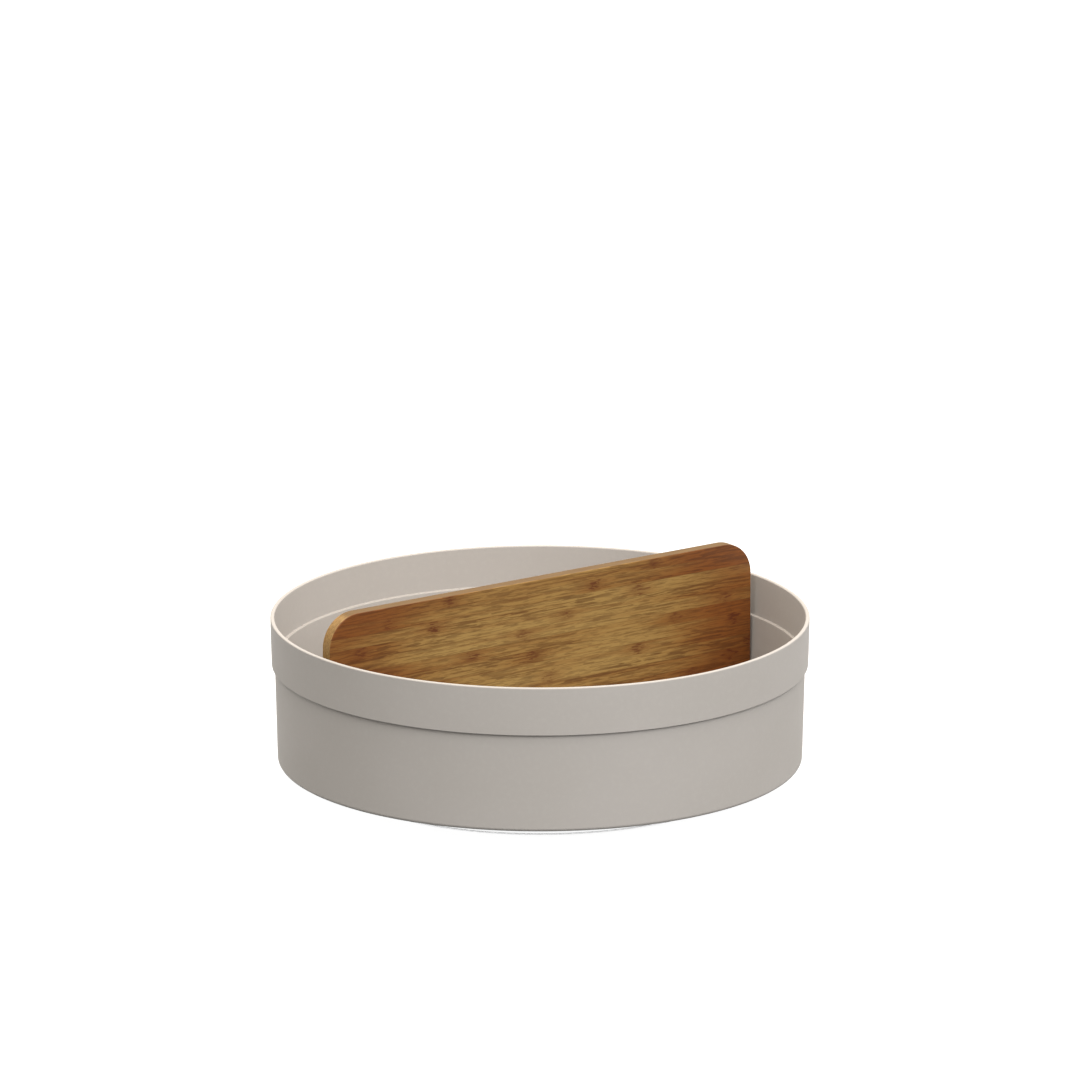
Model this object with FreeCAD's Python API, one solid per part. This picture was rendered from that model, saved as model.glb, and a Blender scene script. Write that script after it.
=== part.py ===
import FreeCAD, Part
import math
import os

from FreeCAD import Vector

# A lazy susan turntable: a clear moulded base ring with six captive bearing
# balls, a round storage bin that rides on the balls and turns about a keyed
# pivot, and a bamboo board that stands across the bin as its divider.
#
# Row frame: millimetres, +Z up, origin at the centre of the base on the table.
# X runs along the divider and along one pair of base spokes.

# ---------------------------------------------------------------- dimensions
# Bearing balls and the sockets that hold them
ball_count = 6
ball_diameter = 7.0
ball_circle_radius = 94.2
first_ball_angle = 30.0       # degrees from +X
ball_clearance = 0.1          # radial, ball to socket
socket_wall = 1.2             # around the ball at its equator
socket_floor = 0.7            # under the ball
socket_grip = 2.0             # collar height above the ball's centre

# Base ring, in section from the outside in
skirt_wall = 2.0
flange_width = 2.6
flange_top = 4.3              # height above the table
flange_thickness = 2.0
lip_wall = 3.0                # at the foot of the outer lip
lip_draft = 1.3               # how far the lip leans in over its height
lip_gap = 0.6                 # top of the lip to the bin's track
channel_side_gap = 0.15       # socket collar to the flat of the channel
channel_fillet = 2.6          # outer side of the channel
rib_fillet = 2.1              # inner side of the channel
rib_wall = 2.6
rib_drop = 1.25               # inner rib below the outer lip
deck_underside = 4.0          # height above the table
deck_thickness = 2.4

# Spoked plate and its hub
plate_underside = 1.7         # height above the table
plate_thickness = 2.6
spoke_width = 27.2
window_inner_radius = 5.0     # corner beside the hub
window_outer_radius = 9.0     # corners beside the ring
hub_radius = 9.3
hub_drop = 0.5                # top of the hub below the outer lip
hub_foot_fillet = 0.6
drain_hole_radius = 3.1

# Pivot: a bush that turns in the hub, keyed to a pin under the bin
pin_radius = 5.3
pin_wall = 2.0
pin_end_gap = 0.4             # pin to the floor of the bush
key_width = 2.0
key_height = 0.6
key_clearance = 0.1           # pin to bush, all round
bush_wall = 1.1
bush_floor = 0.8
bush_clearance = 0.05         # bush to hub, radial and underneath

# Storage bin
rim_radius = 140.0
bin_height = 76.8             # rim to the bottom edge of the skirt
bin_wall = 2.2
bin_floor_thickness = 2.2
bin_skirt_depth = 2.2         # bottom edge below the underside of the floor
band_height = 25.2            # wide band below the rim
band_draft = 0.6
band_step = 1.65              # body set in from the band
ledge_depth = 21.6            # inner ledge below the rim
body_draft = 1.2
bottom_edge_radius = 1.9
floor_corner_radius = 1.5
rim_edge_radius = 0.7
track_depth = 0.6             # track ring under the floor
track_width = 8.4

# Divider board and the rails that hold its lower edge
divider_height = 92.4
divider_thickness = 7.0
divider_end_clearance = 0.5   # each end to the bin's wall
divider_top_radius = 17.5
divider_bottom_radius = 1.5
divider_edge_radius = 0.5
rail_clearance = 0.25         # board to rail, each side
rail_thickness = 2.0
rail_height = 8.0
rail_length = 42.0
rail_end_gap = 18.0           # rail to the bin's wall
rail_edge_radius = 0.6

# Small edge radii of the clear mouldings
edge_radius = 0.4
fine_edge_radius = 0.25

# ------------------------------------------------------------- derived places
ball_radius = ball_diameter / 2
socket_radius = ball_radius + ball_clearance
ball_height = deck_underside + socket_floor + socket_radius
track_height = ball_height + ball_radius
collar_radius = socket_radius + socket_wall
collar_top = ball_height + socket_grip

deck_top = deck_underside + deck_thickness
lip_top = track_height - lip_gap
rib_top = lip_top - rib_drop
hub_top = lip_top - hub_drop
channel_half_width = collar_radius + channel_side_gap
lip_inner_radius = ball_circle_radius + channel_half_width + channel_fillet
lip_foot_radius = lip_inner_radius + lip_wall
ring_outer_radius = lip_foot_radius + flange_width
rib_outer_radius = ball_circle_radius - channel_half_width - rib_fillet
rib_inner_radius = rib_outer_radius - rib_wall

plate_top = plate_underside + plate_thickness

bush_bore_radius = pin_radius + key_clearance
bush_outer_radius = bush_bore_radius + bush_wall
hub_bore_radius = bush_outer_radius + bush_clearance
bush_bottom = plate_top + bush_clearance
bush_floor_top = bush_bottom + bush_floor
pin_bottom = bush_floor_top + pin_end_gap

floor_underside = track_height + track_depth
floor_top = floor_underside + bin_floor_thickness
bin_bottom = floor_underside - bin_skirt_depth
rim_top = bin_bottom + bin_height
band_bottom = rim_top - band_height
ledge_height = rim_top - ledge_depth
band_bottom_radius = rim_radius - band_draft
body_top_radius = band_bottom_radius - band_step
body_bottom_radius = body_top_radius - body_draft


def body_radius_at(height):
    """Outer radius of the bin's body, which tapers towards its bottom edge."""
    share = (height - bin_bottom) / (band_bottom - bin_bottom)
    return body_bottom_radius + body_draft * share


floor_inner_radius = body_radius_at(floor_top) - bin_wall
divider_half_length = (
    math.sqrt(floor_inner_radius**2 - (divider_thickness / 2) ** 2)
    - divider_end_clearance
)


# -------------------------------------------------------------------- helpers
def rounded_face(corners, place):
    """A flat face from (u, v, corner radius) points, placed by place(u, v)."""
    count = len(corners)
    joins = []
    for i, (u, v, radius) in enumerate(corners):
        corner = Vector(u, v, 0)
        before = Vector(*corners[i - 1][:2], 0) - corner
        after = Vector(*corners[(i + 1) % count][:2], 0) - corner
        before.normalize()
        after.normalize()
        if radius <= 0:
            joins.append((corner, None, corner))
            continue
        half = before.getAngle(after) / 2
        reach = radius / math.tan(half)
        inward = (before + after).normalize()
        centre = corner + inward * (radius / math.sin(half))
        joins.append((corner + before * reach, centre - inward * radius, corner + after * reach))
    edges = []
    for i, (start, middle, end) in enumerate(joins):
        if middle is not None:
            edges.append(Part.Arc(place(start), place(middle), place(end)).toShape())
        following = joins[(i + 1) % count][0]
        if (following - end).Length > 1e-6:
            edges.append(Part.LineSegment(place(end), place(following)).toShape())
    return Part.Face(Part.Wire(edges))


def turned(corners):
    """A solid of revolution about Z from (radius, height, corner radius) points."""
    section = rounded_face(corners, lambda p: Vector(p.x, 0, p.y))
    return section.revolve(Vector(0, 0, 0), Vector(0, 0, 1), 360)


def block(x_low, x_high, y_low, y_high, z_low, z_high):
    size = (x_high - x_low, y_high - y_low, z_high - z_low)
    return Part.makeBox(*size, Vector(x_low, y_low, z_low))


def upright_edges(shape, nearest, furthest):
    """The vertical straight edges that stand between two distances from the turning axis."""
    return [
        e for e in shape.Edges
        if abs(e.tangentAt(e.FirstParameter).z) > 0.99
        and nearest < math.hypot(e.CenterOfMass.x, e.CenterOfMass.y) < furthest
    ]


def ball_centre(index):
    angle = math.radians(first_ball_angle + 360.0 * index / ball_count)
    return Vector(
        ball_circle_radius * math.cos(angle),
        ball_circle_radius * math.sin(angle),
        ball_height,
    )


def spun(shape, degrees):
    copy = shape.copy()
    copy.rotate(Vector(0, 0, 0), Vector(0, 0, 1), degrees)
    return copy


# ----------------------------------------------------------------------- base
def base_ring():
    """Flange, outer lip, ball channel and inner rib, open underneath."""
    flange_underside = flange_top - flange_thickness
    skirt_inner_radius = ring_outer_radius - skirt_wall
    return turned([
        (ring_outer_radius, 0, fine_edge_radius),
        (ring_outer_radius, flange_top, edge_radius),
        (lip_foot_radius, flange_top, edge_radius),
        (lip_foot_radius - lip_draft, lip_top, edge_radius),
        (lip_inner_radius, lip_top, edge_radius),
        (lip_inner_radius, deck_top, channel_fillet),
        (rib_outer_radius, deck_top, rib_fillet),
        (rib_outer_radius, rib_top, edge_radius),
        (rib_inner_radius, rib_top, edge_radius),
        (rib_inner_radius, plate_underside, 0),
        (rib_outer_radius, plate_underside, fine_edge_radius),
        (rib_outer_radius, deck_underside, edge_radius),
        (lip_inner_radius, deck_underside, edge_radius),
        (lip_inner_radius, flange_underside, edge_radius),
        (skirt_inner_radius, flange_underside, edge_radius),
        (skirt_inner_radius, 0, fine_edge_radius),
    ])


def window():
    """One of the four openings between the spokes, as the solid to cut away."""
    half = spoke_width / 2
    opening = block(half, rib_inner_radius, half, rib_inner_radius, plate_underside, plate_top)
    opening = opening.makeFillet(window_inner_radius, upright_edges(opening, 0, spoke_width))
    opening = opening.common(
        Part.makeCylinder(rib_inner_radius, plate_thickness, Vector(0, 0, plate_underside))
    )
    corners = upright_edges(opening, rib_inner_radius - edge_radius, rib_inner_radius + edge_radius)
    return opening.makeFillet(window_outer_radius, corners)


def spoked_plate():
    plate = Part.makeCylinder(
        rib_inner_radius + rib_wall / 2, plate_thickness, Vector(0, 0, plate_underside)
    )
    opening = window()
    plate = plate.cut([spun(opening, 90 * turn) for turn in range(4)])
    bore = Part.makeCylinder(hub_radius, plate_thickness, Vector(0, 0, plate_underside))
    return plate.cut(bore)


def hub():
    """Collar round the pivot bush, with the disc of plate that it stands on."""
    disc_radius = hub_radius + 2 * hub_foot_fillet
    return turned([
        (drain_hole_radius, plate_underside, fine_edge_radius),
        (disc_radius, plate_underside, 0),
        (disc_radius, plate_top, 0),
        (hub_radius, plate_top, hub_foot_fillet),
        (hub_radius, hub_top, edge_radius),
        (hub_bore_radius, hub_top, edge_radius),
        (hub_bore_radius, plate_top, 0),
        (drain_hole_radius, plate_top, fine_edge_radius),
    ])


def socket_collar():
    """Solid collar that the first ball's socket is cut in."""
    collar = turned([
        (0, deck_underside, 0),
        (collar_radius, deck_underside, 0),
        (collar_radius, collar_top, edge_radius),
        (0, collar_top, 0),
    ])
    centre = ball_centre(0)
    collar.translate(Vector(centre.x, centre.y, 0))
    return collar


def turntable_base():
    collar = socket_collar()
    collars = [spun(collar, 360.0 * i / ball_count) for i in range(ball_count)]
    body = base_ring().fuse([spoked_plate(), hub()] + collars)
    pockets = [Part.makeSphere(socket_radius, ball_centre(i)) for i in range(ball_count)]
    return body.cut(pockets).removeSplitter()


def bearing_ball(index):
    return Part.makeSphere(ball_radius, ball_centre(index))


# ---------------------------------------------------------------------- pivot
def pivot_bush():
    """Sleeve that turns in the hub; two keyways carry the bin's pin round."""
    sleeve = turned([
        (drain_hole_radius, bush_bottom, fine_edge_radius),
        (bush_outer_radius, bush_bottom, fine_edge_radius),
        (bush_outer_radius, hub_top, fine_edge_radius),
        (bush_bore_radius, hub_top, fine_edge_radius),
        (bush_bore_radius, bush_floor_top, 0),
        (drain_hole_radius, bush_floor_top, fine_edge_radius),
    ])
    reach = pin_radius + key_height + key_clearance
    half = key_width / 2 + key_clearance
    return sleeve.cut(block(-reach, reach, -half, half, bush_floor_top, hub_top + 1))


def pivot_pin():
    """Hollow keyed pin under the bin's floor."""
    top = floor_underside + bin_floor_thickness / 2
    tube = turned([
        (pin_radius - pin_wall, pin_bottom, fine_edge_radius),
        (pin_radius, pin_bottom, edge_radius),
        (pin_radius, top, 0),
        (pin_radius - pin_wall, top, 0),
    ])
    reach = pin_radius + key_height
    inside = pin_radius - pin_wall / 2
    half = key_width / 2
    key = block(inside, reach, -half, half, pin_bottom + edge_radius, top)
    return tube.fuse([key, spun(key, 180)])


# ------------------------------------------------------------------------ bin
def bin_shell():
    """Banded wall with its inner ledge, raised floor and track ring."""
    skirt_inner_radius = body_bottom_radius - bin_wall
    track_inner = ball_circle_radius - track_width / 2
    track_outer = ball_circle_radius + track_width / 2
    return turned([
        (skirt_inner_radius, bin_bottom, 0.1),
        (body_bottom_radius, bin_bottom, bottom_edge_radius),
        (body_top_radius, band_bottom, fine_edge_radius),
        (band_bottom_radius, band_bottom, edge_radius),
        (rim_radius, rim_top, rim_edge_radius),
        (rim_radius - bin_wall, rim_top, rim_edge_radius),
        (band_bottom_radius - bin_wall, ledge_height, fine_edge_radius),
        (body_top_radius - bin_wall, ledge_height, edge_radius),
        (floor_inner_radius, floor_top, floor_corner_radius),
        (0, floor_top, 0),
        (0, floor_underside, 0),
        (track_inner, floor_underside, 0),
        (track_inner, track_height, fine_edge_radius),
        (track_outer, track_height, fine_edge_radius),
        (track_outer, floor_underside, 0),
        (skirt_inner_radius, floor_underside, edge_radius),
    ])


def divider_rail(side, end):
    """One low rail on the floor: side is its side of the board, end its half."""
    near = divider_thickness / 2 + rail_clearance
    far = near + rail_thickness
    root = floor_top - bin_floor_thickness / 2
    section = rounded_face(
        [
            (side * near, root, 0),
            (side * far, root, 0),
            (side * far, floor_top + rail_height, rail_edge_radius),
            (side * near, floor_top + rail_height, rail_edge_radius),
        ],
        lambda p: Vector(0, p.x, p.y),
    )
    outer_end = floor_inner_radius - rail_end_gap
    rail = section.extrude(Vector(rail_length, 0, 0))
    start = outer_end - rail_length if end > 0 else -outer_end
    rail.translate(Vector(start, 0, 0))
    return rail


def storage_bin():
    rails = [divider_rail(side, end) for side in (-1, 1) for end in (-1, 1)]
    return bin_shell().fuse([pivot_pin()] + rails).removeSplitter()


# -------------------------------------------------------------------- divider
def bamboo_divider():
    half = divider_half_length
    top = floor_top + divider_height
    board = rounded_face(
        [
            (-half, floor_top, divider_bottom_radius),
            (half, floor_top, divider_bottom_radius),
            (half, top, divider_top_radius),
            (-half, top, divider_top_radius),
        ],
        lambda p: Vector(p.x, -divider_thickness / 2, p.y),
    ).extrude(Vector(0, divider_thickness, 0))
    face_edges = [
        e for e in board.Edges
        if abs(abs(e.CenterOfMass.y) - divider_thickness / 2) < 1e-6
    ]
    return board.makeFillet(divider_edge_radius, face_edges)


# --------------------------------------------------------------------- export
def all_parts():
    parts = {
        "turntable_base": turntable_base(),
        "pivot_bush": pivot_bush(),
        "storage_bin": storage_bin(),
        "bamboo_divider": bamboo_divider(),
    }
    for index in range(ball_count):
        parts["bearing_ball_%d" % (index + 1)] = bearing_ball(index)
    return parts


os.makedirs("parts", exist_ok=True)
for name, shape in all_parts().items():
    solids = shape.Solids
    if len(solids) != 1 or not solids[0].isValid():
        raise RuntimeError("%s is not one valid solid" % name)
    solids[0].exportStep("parts/%s.step" % name)
    box = solids[0].BoundBox
    print(
        "%-16s %9.1f mm3  X %.2f..%.2f  Y %.2f..%.2f  Z %.2f..%.2f"
        % (name, solids[0].Volume, box.XMin, box.XMax, box.YMin, box.YMax, box.ZMin, box.ZMax)
    )
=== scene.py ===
"""A lazy susan: a clear ball-bearing base, a moulded storage bin that turns on it, and a
bamboo board that stands across the bin. Metres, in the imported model's own frame."""

import math
import random

import bmesh
import bpy
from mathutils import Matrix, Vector


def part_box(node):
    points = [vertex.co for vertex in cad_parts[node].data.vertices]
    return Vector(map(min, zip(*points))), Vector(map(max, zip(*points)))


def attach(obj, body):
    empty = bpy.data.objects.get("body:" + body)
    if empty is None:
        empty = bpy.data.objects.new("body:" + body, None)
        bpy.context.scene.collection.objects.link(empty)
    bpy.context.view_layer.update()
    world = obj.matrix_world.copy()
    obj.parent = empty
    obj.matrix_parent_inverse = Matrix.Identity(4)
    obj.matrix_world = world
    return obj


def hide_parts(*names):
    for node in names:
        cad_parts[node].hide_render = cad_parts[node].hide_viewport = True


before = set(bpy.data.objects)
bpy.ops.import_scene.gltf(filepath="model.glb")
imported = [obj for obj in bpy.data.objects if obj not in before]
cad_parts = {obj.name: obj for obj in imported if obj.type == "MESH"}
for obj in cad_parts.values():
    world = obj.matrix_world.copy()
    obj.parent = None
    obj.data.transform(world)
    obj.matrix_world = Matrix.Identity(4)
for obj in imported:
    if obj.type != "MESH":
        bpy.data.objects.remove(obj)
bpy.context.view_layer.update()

MM = 0.001
same_place = 0.02 * MM  # points this close along an axis count as one place


# ------------------------------------------------------------------ workbench
def clear_bench():
    """Leaves nothing selected, so that an operator works on the new piece alone."""
    if bpy.context.object and bpy.context.object.mode != "OBJECT":
        bpy.ops.object.mode_set(mode="OBJECT")
    bpy.ops.object.select_all(action="DESELECT")


def open_piece(name):
    """Names the primitive just added and opens it for shaping."""
    piece = bpy.context.object
    piece.name = piece.data.name = name
    bpy.ops.object.transform_apply(location=True, rotation=True, scale=True)
    bpy.ops.object.mode_set(mode="EDIT")
    return piece


def pick_edges(piece, wanted):
    """Selects the edges whose two ends both lie where wanted says."""
    bpy.ops.mesh.select_mode(type="EDGE")
    bpy.ops.mesh.select_all(action="DESELECT")
    form = bmesh.from_edit_mesh(piece.data)
    for edge in form.edges:
        edge.select = all(wanted(end.co) for end in edge.verts)
    form.select_flush_mode()
    bmesh.update_edit_mesh(piece.data)


def round_edges(piece, wanted, radius, steps=4):
    pick_edges(piece, wanted)
    bpy.ops.mesh.bevel(offset=radius, segments=steps, affect="EDGES", clamp_overlap=False)


def ring_at(radius, height):
    """Tells whether a point lies on the circle of that radius at that height."""
    return lambda p: (
        abs(math.hypot(p.x, p.y) - radius) < same_place and abs(p.z - height) < same_place
    )


def block(name, low, high):
    """A plain block between two corners, open for shaping."""
    clear_bench()
    middle = [(a + b) / 2 for a, b in zip(low, high)]
    bpy.ops.mesh.primitive_cube_add(size=1, location=middle)
    bpy.context.object.scale = [b - a for a, b in zip(low, high)]
    return open_piece(name)


def close_piece(piece, angle=35):
    """Back to object mode, with faces outwards and the shading split at sharp edges."""
    bpy.ops.mesh.select_all(action="SELECT")
    bpy.ops.mesh.normals_make_consistent(inside=False)
    bpy.ops.object.mode_set(mode="OBJECT")
    bpy.ops.object.shade_smooth_by_angle(angle=math.radians(angle))
    even = piece.modifiers.new("even_shading", "WEIGHTED_NORMAL")
    even.keep_sharp = True
    bpy.ops.object.modifier_apply(modifier=even.name)


# ------------------------------------------------------------- board's strips
board_low, board_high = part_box("bamboo_divider")
board_half = board_high.x
board_face = board_high.y
strip_pitch = 6.4 * MM
first_glue_line = board_low.z + 3.5 * MM
cell_length = 10 * MM
foot_gap = 0.03 * MM  # the foot stands a hair clear of the bin's floor
top_corner = 17.5 * MM
foot_corner = 1.5 * MM
eased_edge = 0.5 * MM

# Each strip comes from another cane, so its growth marks start somewhere else.
strip_count = 15
mark_spacing = 130 * MM
faintest_mark = 0.55
cane = random.Random(5)
strip_starts = [cane.uniform(0, mark_spacing) for _ in range(strip_count)]


def nearest_mark(strip, along):
    """The place and strength of the strip's growth mark nearest to a point along it."""
    number = round((along - strip_starts[strip]) / mark_spacing)
    spread = (strip * 0.37 + number * 0.53) % 1
    strength = faintest_mark + (1 - faintest_mark) * spread
    return strip_starts[strip] + number * mark_spacing, strength


def mark_strips(piece):
    """Gives each cell of the board its distance from the strip's nearest growth mark, and
    that mark's strength, as the board's own map."""
    marks = piece.data.uv_layers.new(name="growth_marks")
    for face in piece.data.polygons:
        level = int((face.center.z - first_glue_line) / strip_pitch + 1)
        strip = min(max(level, 0), strip_count - 1)
        place, strength = nearest_mark(strip, face.center.x)
        for corner in face.loop_indices:
            point = piece.data.vertices[piece.data.loops[corner].vertex_index].co
            marks.data[corner].uv = (point.x - place, strength)


def bamboo_board():
    """A flat blank with rounded top corners, eased edges, and cuts along its glue lines."""
    foot = board_low + Vector((0, 0, foot_gap))
    piece = block("bamboo_board", foot, board_high)

    def corner_at(side, height):
        corner_x = side * board_half
        return lambda p: math.hypot(p.x - corner_x, p.z - height) < same_place

    for side in (-1, 1):
        round_edges(piece, corner_at(side, board_high.z), top_corner, steps=24)
        round_edges(piece, corner_at(side, foot.z), foot_corner, steps=6)
    for side in (-1, 1):
        round_edges(piece, lambda p: abs(p.y - side * board_face) < same_place, eased_edge)
    glue_lines = [first_glue_line + k * strip_pitch for k in range(strip_count - 1)]
    cell_ends = [k * cell_length for k in range(-13, 14)]
    cuts = [((0, 0, height), (0, 0, 1)) for height in glue_lines]
    cuts += [((along, 0, 0), (1, 0, 0)) for along in cell_ends]
    for place, facing in cuts:
        bpy.ops.mesh.select_all(action="SELECT")
        bpy.ops.mesh.bisect(plane_co=place, plane_no=facing)
    close_piece(piece)
    mark_strips(piece)
    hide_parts("bamboo_divider")
    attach(piece, "divider")
    return piece


# ------------------------------------------------------------------------ bin
bin_low, bin_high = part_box("storage_bin")
turn_steps = 288

rim_radius = bin_high.x
rim_top = bin_high.z
pin_bottom = bin_low.z
wall = 2.2 * MM
bin_bottom = rim_top - 76.8 * MM
band_bottom = rim_top - 25.2 * MM
ledge_height = rim_top - 21.6 * MM
floor_underside = bin_bottom + 2.2 * MM
floor_top = floor_underside + 2.2 * MM
track_height = floor_underside - 0.6 * MM
band_radius = rim_radius - 0.6 * MM
body_radius = band_radius - 1.65 * MM
foot_radius = body_radius - 1.2 * MM
floor_radius = foot_radius + 0.1 * MM - wall
pin_radius = 5.3 * MM
pin_bore = 3.3 * MM
track_inner = 90.0 * MM
track_outer = 98.4 * MM
floor_patch = 20 * MM  # the turned floor ends here, and a flat patch closes it
pin_blind_end = floor_underside + 1.1 * MM
rail_near = 3.75 * MM
rail_far = 5.75 * MM
rail_start = 74.45 * MM
rail_end = 116.45 * MM
rail_height = 8 * MM
key_start = 4.3 * MM
key_end = 5.9 * MM
key_half_width = 1 * MM


def draw_section(points):
    """Draws the selected ring along a section of (radius, height) points."""
    radius, height = points[0]
    for next_radius, next_height in points[1:]:
        bpy.ops.mesh.extrude_edges_move(
            TRANSFORM_OT_translate={"value": (0, 0, next_height - height)}
        )
        share = next_radius / radius
        bpy.ops.transform.resize(value=(share, share, 1), center_override=(0, 0, 0))
        radius, height = next_radius, next_height


def bin_shell():
    """The banded wall, ledge, raised floor, track ring and hollow pin, turned in one."""
    section = [
        (pin_bore, pin_blind_end),
        (pin_bore, pin_bottom),
        (pin_radius, pin_bottom),
        (pin_radius, floor_underside),
        (track_inner, floor_underside),
        (track_inner, track_height),
        (track_outer, track_height),
        (track_outer, floor_underside),
        (foot_radius - wall, floor_underside),
        (foot_radius - wall, bin_bottom),
        (foot_radius, bin_bottom),
        (body_radius, band_bottom),
        (band_radius, band_bottom),
        (rim_radius, rim_top),
        (rim_radius - wall, rim_top),
        (band_radius - wall, ledge_height),
        (body_radius - wall, ledge_height),
        (floor_radius, floor_top),
        (floor_patch, floor_top),
    ]
    roundings = (
        ((pin_bore, pin_bottom), 0.25),
        ((pin_radius, pin_bottom), 0.4),
        ((pin_radius, floor_underside), 0.5),
        ((track_inner, track_height), 0.25),
        ((track_outer, track_height), 0.25),
        ((foot_radius - wall, floor_underside), 0.4),
        ((foot_radius, bin_bottom), 1.9),
        ((body_radius, band_bottom), 0.25),
        ((band_radius, band_bottom), 0.4),
        ((rim_radius, rim_top), 0.7),
        ((rim_radius - wall, rim_top), 0.7),
        ((band_radius - wall, ledge_height), 0.25),
        ((body_radius - wall, ledge_height), 0.4),
        ((floor_radius, floor_top), 1.5),
    )
    clear_bench()
    bpy.ops.mesh.primitive_circle_add(
        vertices=turn_steps, radius=section[0][0], location=(0, 0, section[0][1])
    )
    piece = open_piece("bin_shell")
    bpy.ops.mesh.select_all(action="SELECT")
    draw_section(section)
    bpy.ops.mesh.select_all(action="SELECT")
    bpy.ops.mesh.fill_holes(sides=0)
    for (radius, height), size in roundings:
        round_edges(piece, ring_at(radius, height), size * MM)
    close_piece(piece)
    return piece


def board_rail():
    """One low rail for the board's foot, rounded all round the edges of its top."""
    low = (rail_start, rail_near, floor_top - wall / 2)
    high = (rail_end, rail_far, floor_top + rail_height)
    piece = block("board_rail", low, high)
    round_edges(piece, lambda p: p.z > high[2] - same_place / 2, 0.6 * MM)
    close_piece(piece)
    return piece


def pin_key():
    """One of the two keys that carry the turning bush round with the bin."""
    low = (key_start, -key_half_width, pin_bottom + 0.4 * MM)
    high = (key_end, key_half_width, floor_underside + 0.5 * MM)
    piece = block("pin_key", low, high)
    round_edges(piece, lambda p: p.x > high[0] - same_place / 2, 0.15 * MM, steps=3)
    close_piece(piece)
    return piece


def copies(piece, placings):
    """The piece once for each (x sign, y sign) placing, turned or mirrored into place."""
    made = [piece]
    for x_sign, y_sign in placings:
        clear_bench()
        twin = piece.copy()
        twin.data = piece.data.copy()
        bpy.context.collection.objects.link(twin)
        twin.select_set(True)
        bpy.context.view_layer.objects.active = twin
        twin.scale = (x_sign, y_sign, 1)
        bpy.ops.object.transform_apply(location=True, rotation=True, scale=True)
        bpy.ops.object.mode_set(mode="EDIT")
        close_piece(twin)
        made.append(twin)
    return made


def storage_bin():
    shell = bin_shell()
    parts = copies(board_rail(), ((-1, 1), (-1, -1), (1, -1))) + copies(pin_key(), ((-1, 1),))
    clear_bench()
    for part in parts + [shell]:
        part.select_set(True)
    bpy.context.view_layer.objects.active = shell
    bpy.ops.object.join()
    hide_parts("storage_bin")
    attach(shell, "bin")
    return shell


# -------------------------------------------------------------------- finishes
def display_colour(red, green, blue):
    """The linear colour of an 8-bit display colour."""
    parts = (part / 255 for part in (red, green, blue))
    return (*(p / 12.92 if p <= 0.04045 else ((p + 0.055) / 1.055) ** 2.4 for p in parts), 1)


class Tone:
    """A node's output, with the sums that finishes are written in."""

    def __init__(self, finish, socket):
        self.finish = finish
        self.socket = socket

    def output(self, name):
        return Tone(self.finish, self.socket.node.outputs[name])

    def __add__(self, other):
        return self.finish.sum("ADD", self, other)

    def __sub__(self, other):
        return self.finish.sum("SUBTRACT", self, other)

    def __rsub__(self, other):
        return self.finish.sum("SUBTRACT", other, self)

    def __mul__(self, other):
        return self.finish.sum("MULTIPLY", self, other)

    def __truediv__(self, other):
        return self.finish.sum("DIVIDE", self, other)

    def __abs__(self):
        return self.finish.sum("ABSOLUTE", self)

    __radd__ = __add__
    __rmul__ = __mul__

    def floor(self):
        return self.finish.sum("FLOOR", self)

    def rise(self, start, end):
        """0 below start, 1 above end, and a smooth step between."""
        return self.finish.node(
            "ShaderNodeMapRange",
            {"interpolation_type": "SMOOTHSTEP"},
            {"Value": self, "From Min": start, "From Max": end},
        )


class Finish:
    """The nodes of one material, or of the studio's air, built one at a time."""

    def __init__(self, owner):
        owner.use_nodes = True
        self.owner = owner
        self.tree = owner.node_tree
        self.tree.nodes.clear()

    def node(self, kind, settings=None, sockets=None, output=0):
        made = self.tree.nodes.new(kind)
        for name, value in (settings or {}).items():
            setattr(made, name, value)
        for name, value in (sockets or {}).items():
            if isinstance(value, Tone):
                self.tree.links.new(value.socket, made.inputs[name])
            else:
                made.inputs[name].default_value = value
        return Tone(self, made.outputs[output])

    def sum(self, operation, *values):
        return self.node("ShaderNodeMath", {"operation": operation}, dict(enumerate(values)))

    def blend(self, share, first, second):
        """The first colour giving way to the second as share rises."""
        settings = {"data_type": "RGBA", "blend_type": "MIX"}
        return self.node("ShaderNodeMix", settings, {0: share, 6: first, 7: second}, output=2)

    def place(self, scale=(1, 1, 1), shift=(0, 0, 0)):
        """The piece's own coordinates, in metres times scale."""
        where = self.node("ShaderNodeTexCoord").output("Object")
        return self.node(
            "ShaderNodeMapping", None, {"Vector": where, "Scale": scale, "Location": shift}
        )

    def noise(self, scale, shift=(0, 0, 0), detail=2.0, roughness=0.5, distortion=0.0):
        """Soft noise with so many waves to the metre along each axis."""
        sockets = {
            "Vector": self.place(scale, shift),
            "Scale": 1.0,
            "Detail": detail,
            "Roughness": roughness,
            "Distortion": distortion,
        }
        return self.node("ShaderNodeTexNoise", None, sockets)

    def bump(self, height, depth):
        sockets = {"Strength": 1.0, "Distance": depth, "Height": height}
        return self.node("ShaderNodeBump", None, sockets)

    def layer(self, **sockets):
        """One surface shader, with its sockets given by name."""
        named = {name.replace("_", " "): value for name, value in sockets.items()}
        return self.node("ShaderNodeBsdfPrincipled", None, named)

    def over(self, share, under, cover):
        """The cover layer over the under layer, as thick as share says."""
        return self.node("ShaderNodeMixShader", None, {0: share, 1: under, 2: cover})

    def surface(self, **sockets):
        return self.finished(self.layer(**sockets))

    def finished(self, shader, end="ShaderNodeOutputMaterial"):
        """Joins the last shader to the material's end, or to the air's."""
        last = self.tree.nodes.new(end)
        self.tree.links.new(shader.socket, last.inputs["Surface"])
        return self.owner


def new_finish(name):
    return Finish(bpy.data.materials.new(name))


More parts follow.
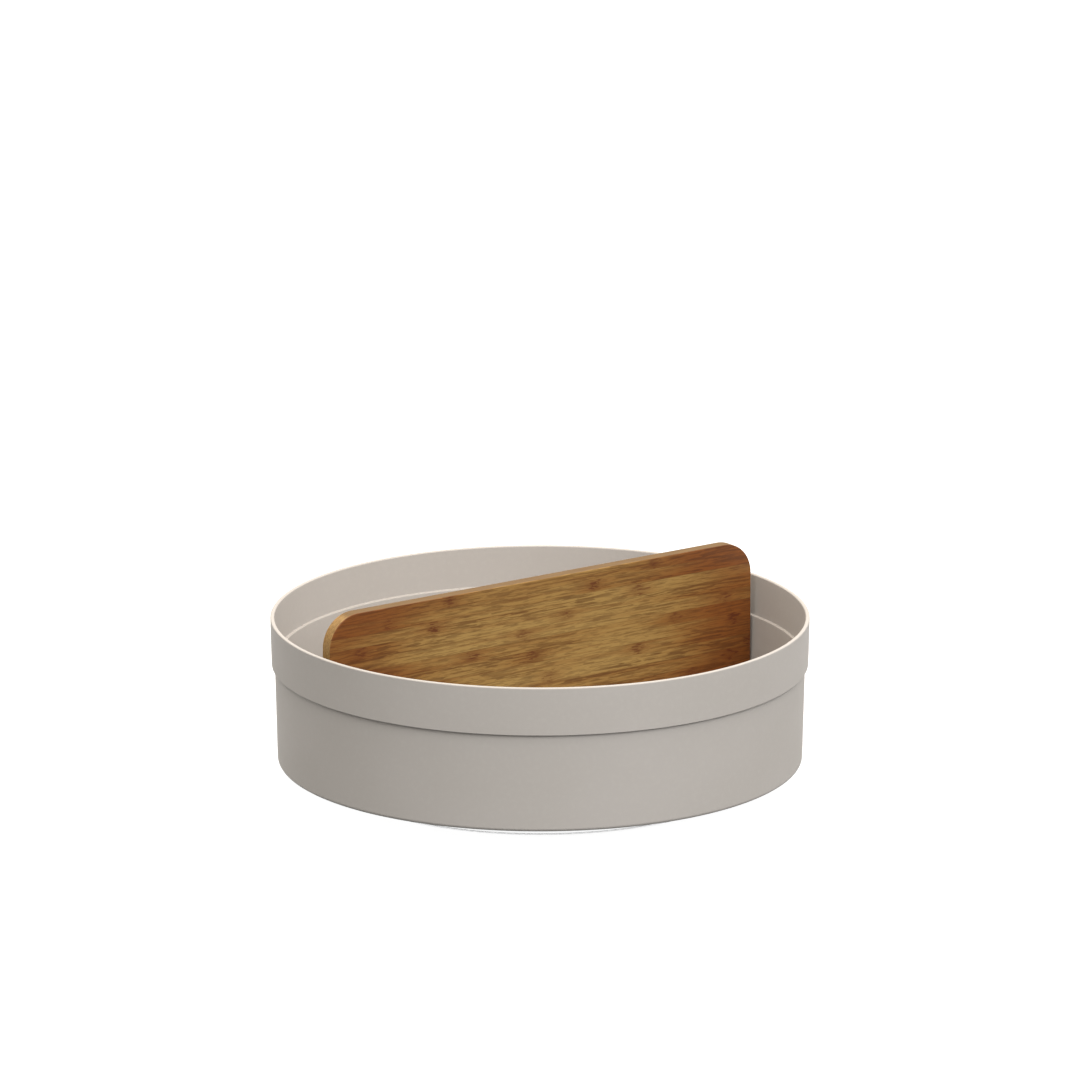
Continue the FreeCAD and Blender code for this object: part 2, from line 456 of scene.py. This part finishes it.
def laminated_bamboo():
    """Narrow strips glued side by side: pale wood, brown fibres and growth marks."""
    wood = new_finish("laminated_bamboo")
    where = wood.node("ShaderNodeSeparateXYZ", None, {"Vector": wood.place()})
    along, across, height = (where.output(axis) for axis in "XYZ")
    level = (height - first_glue_line) / strip_pitch
    strip = level.floor()
    share = level - strip
    lot = wood.node("ShaderNodeTexWhiteNoise", {"noise_dimensions": "1D"}, {"W": strip + 3.5})

    # each strip starts its fibres somewhere else, so they never run on over a glue line
    start = wood.node("ShaderNodeCombineXYZ", None, {"X": lot * 40.0, "Y": strip * 7.3})

    def fibres(scale, detail, distortion):
        ends = {0: wood.place(scale), 1: start}
        moved = wood.node("ShaderNodeVectorMath", {"operation": "ADD"}, ends)
        sockets = {"Vector": moved, "Scale": 1.0, "Detail": detail, "Distortion": distortion}
        return wood.node("ShaderNodeTexNoise", None, sockets)

    long = fibres((11, 200, 560), 3.0, 0.12)
    coarse = fibres((62, 300, 1020), 2.0, 0.15)
    fine = fibres((130, 900, 1700), 1.5, 0.15)
    broad = fibres((11, 60, 90), 2.0, 0.3)

    pale = display_colour(144, 116, 67)
    golden = display_colour(130, 96, 49)
    red = display_colour(109, 62, 24)
    brown = display_colour(69, 37, 13)
    # the board is made paler towards its middle and redder towards its two ends
    ends = abs(along).rise(0.045, 0.135)
    warmth = (broad - 0.5) * 1.1 + ends * 0.7 + (lot - 0.5) * 0.5
    colour = wood.blend((warmth + 0.34).rise(0.0, 1.0), pale, golden)
    colour = wood.blend((warmth + 0.05).rise(0.1, 0.9), colour, red)
    dark_side = share.rise(0.35, 1.0) * 0.5
    crowd = broad.rise(0.35, 0.65)
    vein = (long + dark_side * 0.10).rise(0.50, 0.60) * 0.24
    streak = (coarse + crowd * 0.05 + dark_side * 0.08).rise(0.56, 0.595)
    streak = streak * (0.3 + crowd * 0.28)
    hair = (fine + dark_side * 0.08).rise(0.54, 0.58) * 0.3
    colour = wood.blend(vein, colour, red)
    colour = wood.blend(streak, colour, brown)
    colour = wood.blend(hair, colour, brown)
    glue = abs(share - 0.5).rise(0.45, 0.5) * 0.22
    colour = wood.blend(glue, colour, brown)

    # growth marks: a brown knot that frays along the fibres, in a faint red halo
    own_map = wood.node("ShaderNodeUVMap", {"uv_map": "growth_marks"})
    mark = wood.node("ShaderNodeSeparateXYZ", None, {"Vector": own_map})
    reach = abs(mark.output("X"))
    strength = mark.output("Y")
    middle = abs(share - 0.5)
    fray = (coarse - 0.5) * 0.012 + (fine - 0.5) * 0.010
    core = 1 - (reach + middle * 0.006 + fray).rise(0.0026, 0.0060)
    halo = 1 - (reach + fray * 1.8).rise(0.002, 0.018)
    colour = wood.blend(halo * strength * 0.38, colour, red)
    dashes = wood.noise((210, 500, 1100), detail=2.0, distortion=0.4).rise(0.48, 0.55)
    knot = core * strength * (0.26 + dashes * 0.62)
    colour = wood.blend(knot, colour, display_colour(74, 32, 13))

    # sawn edges: paler end grain, with the plies showing as faint lines
    edge = 1 - abs(across).rise(board_face - 0.42 * MM, board_face - 0.25 * MM)
    grain = wood.noise((60, 2200, 700), detail=3.0)
    light_ply = display_colour(150, 119, 72)
    dark_ply = display_colour(108, 78, 40)
    sawn = wood.blend(grain.rise(0.3, 0.75), light_ply, dark_ply)
    sealed_top = height.rise(board_high.z - 2 * MM, board_high.z - 0.3 * MM) * 0.7
    sawn = wood.blend(sealed_top, sawn, display_colour(84, 62, 36))
    colour = wood.blend(edge, colour, sawn)

    relief = coarse * 0.5 + fine * 0.5 - core * strength * 0.3
    return wood.surface(
        Base_Color=colour,
        Roughness=0.46 + (fine - 0.5) * 0.25 + edge * 0.12,
        Normal=wood.bump(relief, 0.00005),
        Specular_IOR_Level=0.22,
    )


def moulded_bin_plastic():
    """Warm grey plastic with a fine spark-eroded skin and the faintest flow marks."""
    plastic = new_finish("moulded_bin_plastic")
    cloud = plastic.noise((14, 14, 22), detail=3.0)
    skin = plastic.noise((1500, 1500, 1500), detail=2.0, roughness=0.6)
    speck = plastic.noise((420, 420, 420), detail=2.0)
    base = display_colour(167, 163, 160)
    colour = plastic.blend(cloud.rise(0.3, 0.7) * 0.5, base, display_colour(163, 159, 155))
    colour = plastic.blend(speck.rise(0.45, 0.75) * 0.16, colour, display_colour(176, 172, 169))
    return plastic.surface(
        Base_Color=colour,
        Roughness=0.6 + (cloud - 0.5) * 0.12 + (skin - 0.5) * 0.1,
        Normal=plastic.bump(skin, 0.000012),
        Specular_IOR_Level=0.25,
    )


def clear_body(clear, tint, alpha=1.0):
    """A polished clear layer, with tint for its body and slightly wavy moulded faces."""
    flow = clear.noise((35, 35, 35), detail=2.0, distortion=0.6)
    haze = clear.noise((260, 260, 260), detail=2.0)
    return clear.layer(
        Base_Color=tint,
        Roughness=0.004 + haze * 0.008,
        IOR=1.49,
        Transmission_Weight=1.0,
        Alpha=alpha,
        Normal=clear.bump(flow, 0.000003),
    )


def clear_plastic(name, alpha):
    """The clear plastic of a small piece, thin enough to see through without bending."""
    clear = new_finish(name)
    return clear.finished(clear_body(clear, display_colour(236, 237, 238), alpha))


def clear_moulding():
    """The base's clear plastic, with painted shade: light through its walls, painted greyer
    through its flats. The cut edges of its plate are painted dark, because the light that enters
    there is led away inside."""
    clear = new_finish("clear_base_plastic")
    haze = clear.noise((260, 260, 260), detail=2.0)
    facing = clear.node("ShaderNodeTexCoord").output("Normal")
    lie = abs(clear.node("ShaderNodeSeparateXYZ", None, {"Vector": facing}).output("Z"))
    mirror = clear.node("ShaderNodeFresnel", None, {"IOR": 1.49})
    radius = clear.node(
        "ShaderNodeVectorMath", {"operation": "LENGTH"}, {0: clear.place((1, 1, 0))}, output=1
    )
    where = clear.node("ShaderNodeSeparateXYZ", None, {"Vector": clear.place()})
    height = where.output("Z")

    # painted shade: the one clear tint is painted greyer on faces that lie flat than on the
    # upright walls
    wall = clear.blend(
        haze.rise(0.35, 0.75) * 0.25, display_colour(246, 247, 248), display_colour(250, 251, 252)
    )
    body = clear_body(clear, clear.blend(lie.rise(0.35, 0.9), wall, display_colour(225, 226, 227)))

    # the ring is thin all over, so it is seen straight through; a dark grey layer paints shade on
    # its rounded edges, and a painted darkening on faces seen at a grazing angle
    rounded = lie.rise(0.22, 0.32) * (1 - lie.rise(0.9, 0.98))
    channel = height.rise(6.45 * MM, 6.7 * MM) * (1 - height.rise(8.8 * MM, 9.1 * MM))
    bowl = radius.rise(90.3 * MM, 90.5 * MM) * (1 - radius.rise(97.9 * MM, 98.1 * MM))
    bowl = bowl * height.rise(4.55 * MM, 4.65 * MM) * (1 - height.rise(9.3 * MM, 9.7 * MM))
    soft = channel + bowl - channel * bowl
    thin = clear.layer(
        Base_Color=clear.blend(haze, display_colour(84, 85, 86), display_colour(92, 93, 94)),
        Roughness=0.3,
        IOR=1.49,
        Alpha=0.02 + mirror * 0.32 * (1 - bowl * 0.6) + rounded * (0.92 - soft * 0.72),
    )
    # the ring, and a little of the hub, take this see-through layer with its painted shade
    ring = radius.rise(84.2 * MM, 84.4 * MM) * 0.8
    hub = (1 - radius.rise(9.6 * MM, 9.8 * MM)) * 0.2
    body = clear.over(ring + hub, body, thin)

    # cut edges of the plate's windows, and of the flange where it meets the skirt, painted dark
    # grey as their shade
    edge = clear.layer(
        Base_Color=clear.blend(haze, display_colour(128, 129, 130), display_colour(136, 137, 138)),
        Roughness=0.35,
        IOR=1.49,
    )
    windows = radius.rise(11 * MM, 12 * MM) * (1 - radius.rise(85.5 * MM, 86 * MM))
    windows = windows * (1 - height.rise(4.3 * MM, 4.5 * MM)) * 0.7
    flange = radius.rise(107 * MM, 107.2 * MM) * (1 - height.rise(3.9 * MM, 4.2 * MM))
    flange = flange * height.rise(2.2 * MM, 2.5 * MM) * 0.9
    # painted shade: the dark grey covers only the upright faces of those edges, held back where
    # the Fresnel term is high
    upright = 1 - lie.rise(0.1, 0.6)
    return clear.finished(clear.over(upright * (1 - mirror) * (windows + flange), body, edge))


def paint(piece, material):
    """Puts one material in every slot of a piece."""
    if not piece.material_slots:
        piece.data.materials.append(material)
    for slot in piece.material_slots:
        slot.material = material


# ---------------------------------------------------------------------- studio
def stage_floor():
    clear_bench()
    bpy.ops.mesh.primitive_plane_add(size=40)
    floor = bpy.context.object
    floor.name = "studio_floor"
    card = new_finish("studio_floor_card")
    tooth = card.noise((60, 60, 60), detail=2.0)
    paint(floor, card.surface(
        Base_Color=card.blend(tooth, (0.24, 0.24, 0.24, 1), (0.27, 0.27, 0.27, 1)),
        Roughness=0.9,
        Specular_IOR_Level=0.0,
        Emission_Color=(1, 1, 1, 1),
        Emission_Strength=0.97,
    ))
    floor.visible_diffuse = False  # it shows white without lighting the bin from below


def aim(azimuth, elevation, distance, target):
    """Place and turn of something that looks at target from that side and height."""
    a, e = math.radians(azimuth), math.radians(elevation)
    back = (math.sin(a) * math.cos(e), -math.cos(a) * math.cos(e), math.sin(e))
    place = [t + distance * b for t, b in zip(target, back)]
    return place, (math.pi / 2 - e, 0, a)


def soft_box(name, azimuth, elevation, distance, size, power, colour=(1, 1, 1)):
    place, turn = aim(azimuth, elevation, distance, (0, 0, 0.08))
    bpy.ops.object.light_add(type="AREA", location=place, rotation=turn)
    lamp = bpy.context.object
    lamp.name = name
    lamp.data.shape = "DISK"
    lamp.data.size = size
    lamp.data.energy = power
    lamp.data.color = colour


def backdrop():
    """A white wrap-round backdrop for the camera alone: the object is lit by the air."""
    clear_bench()
    bpy.ops.mesh.primitive_uv_sphere_add(segments=48, ring_count=24, radius=18)
    wrap = bpy.context.object
    wrap.name = "studio_backdrop"
    paper = new_finish("backdrop_paper")
    glow = {"Color": (1, 1, 1, 1), "Strength": 1.1}
    paint(wrap, paper.finished(paper.node("ShaderNodeEmission", None, glow)))
    wrap.visible_diffuse = wrap.visible_glossy = False
    wrap.visible_transmission = wrap.visible_shadow = False


def studio_air(overhead, level, below):
    """Soft light that is strong overhead, dimmer at eye level and faint from below."""
    air = Finish(bpy.data.worlds.new("studio_air"))
    facing = air.node("ShaderNodeTexCoord").output("Generated")
    height = air.node("ShaderNodeSeparateXYZ", None, {"Vector": facing}).output("Z")
    strength = height.rise(0.15, 0.8) * (overhead - level)
    strength = strength + height.rise(-0.12, 0.0) * (level - below) + below
    warm_white = (1, 0.965, 0.9, 1)
    light = {"Color": warm_white, "Strength": strength}
    glow = air.node("ShaderNodeBackground", None, light)
    bpy.context.scene.world = air.finished(glow, end="ShaderNodeOutputWorld")


def studio():
    clear_bench()
    studio_air(overhead=2.42, level=0.5, below=0.12)
    soft_box("key_soft_box", -4, 33, 2.6, 1.5, 40)
    soft_box("overhead_soft_box", 0, 88, 2.0, 0.9, 13, (1.0, 0.76, 0.48))
    stage_floor()
    backdrop()
    bpy.context.scene.view_settings.view_transform = "Standard"


def camera():
    """A long lens, a little above the object and to the left of the board."""
    place, turn = aim(-35.4, 14.955, 4.671, (0, 0, 0.127))
    bpy.ops.object.camera_add(location=place, rotation=turn)
    seer = bpy.context.object
    seer.data.sensor_width = 36
    seer.data.lens = 300.7
    bpy.context.scene.camera = seer


# -------------------------------------------------------------------- assembly
paint(bamboo_board(), laminated_bamboo())
paint(storage_bin(), moulded_bin_plastic())
paint(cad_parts["turntable_base"], clear_moulding())
paint(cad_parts["pivot_bush"], clear_plastic("clear_bush_plastic", 0.3))
ball_plastic = clear_plastic("clear_ball_plastic", 0.15)
for number in range(1, 7):
    paint(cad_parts[f"bearing_ball_{number}"], ball_plastic)
studio()
camera()
